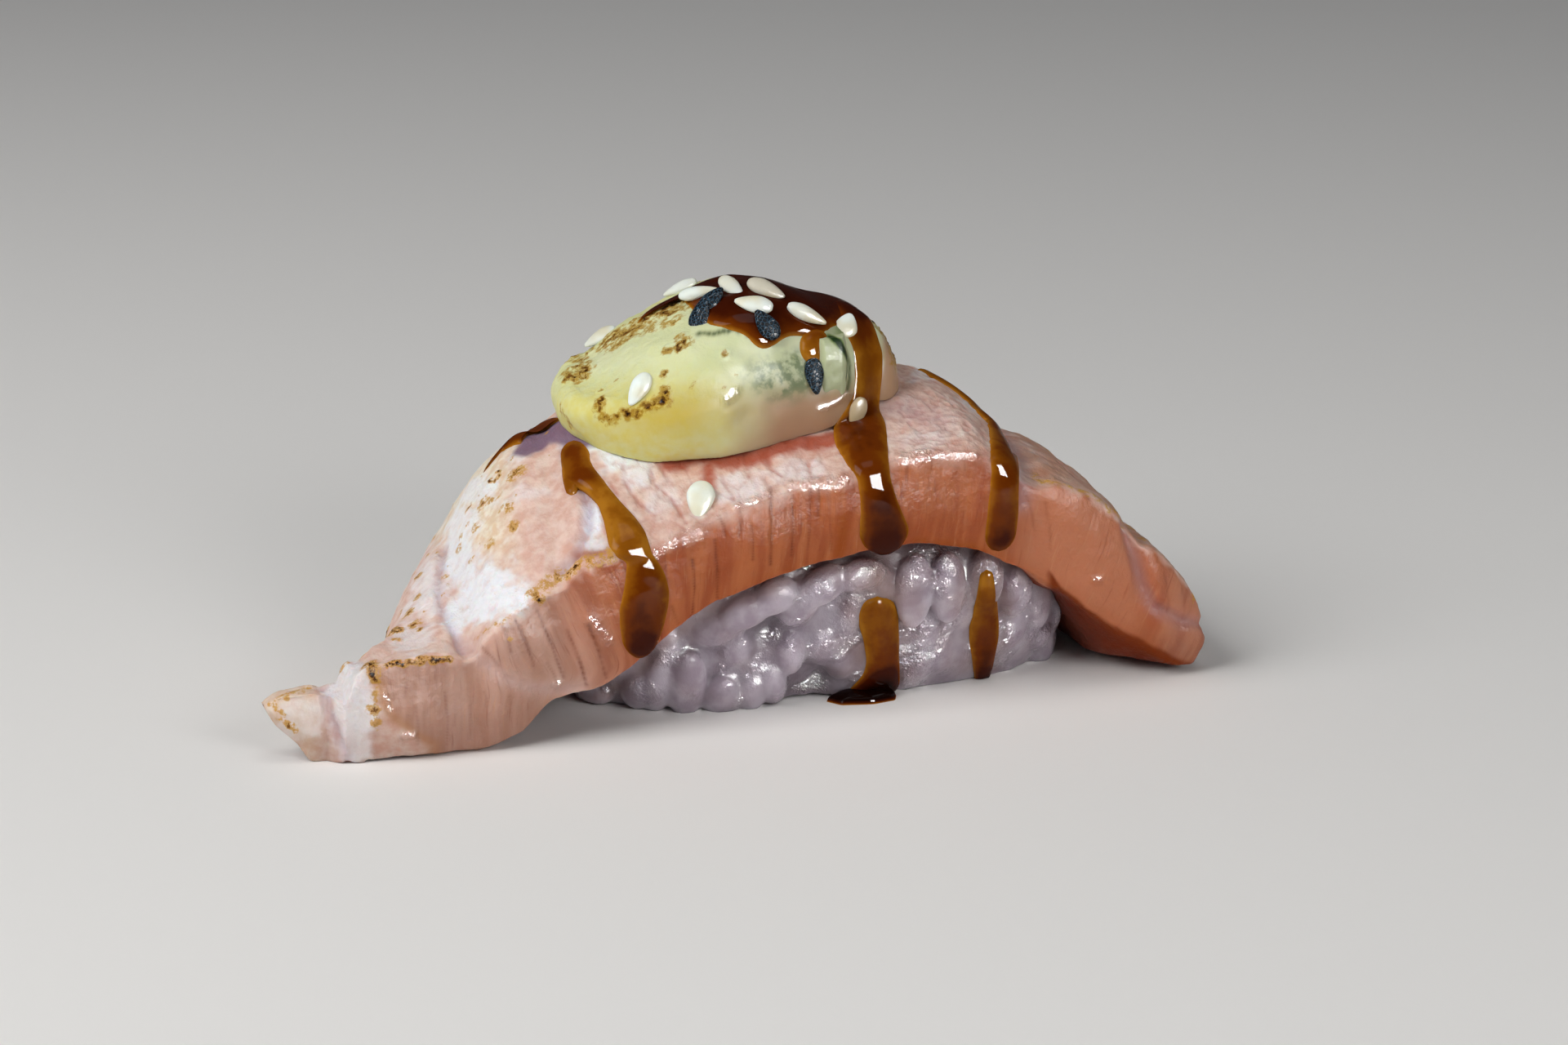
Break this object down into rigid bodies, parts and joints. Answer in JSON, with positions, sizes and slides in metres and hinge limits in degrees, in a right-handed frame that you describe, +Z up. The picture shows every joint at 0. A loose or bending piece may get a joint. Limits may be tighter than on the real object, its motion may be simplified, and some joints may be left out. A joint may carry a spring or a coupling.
{
  "type": "seared salmon nigiri with torched topping",
  "caption": "Nigiri sushi: a thick seared salmon slice draped over an oblong ball of rice, topped with torched cream round avocado, brown sauce and sesame.",
  "frame": {"origin": "on the surface it rests on, below the middle of its overall box", "axes": "+Z up, +X along the salmon slice towards the hanging tip, -Y towards the side that shows the cut face"},
  "size_m": [0.0856, 0.0321, 0.0365],
  "materials": {
    "rice": "cooked rice, moist and translucent",
    "salmon": "seared salmon, moist, with scorched flecks",
    "topping": "torched cream, smooth and glossy with brown spots",
    "avocado": "avocado flesh, green at its rim",
    "sauce": "thick brown soy glaze, clear and very glossy",
    "white_sesame": "hulled sesame seed, smooth",
    "black_sesame": "black sesame seed, finely netted"
  },
  "bodies": {
    "root": {"rice": "rice", "salmon": "salmon", "topping": "topping", "avocado": "avocado"}
  },
  "joints": []
}
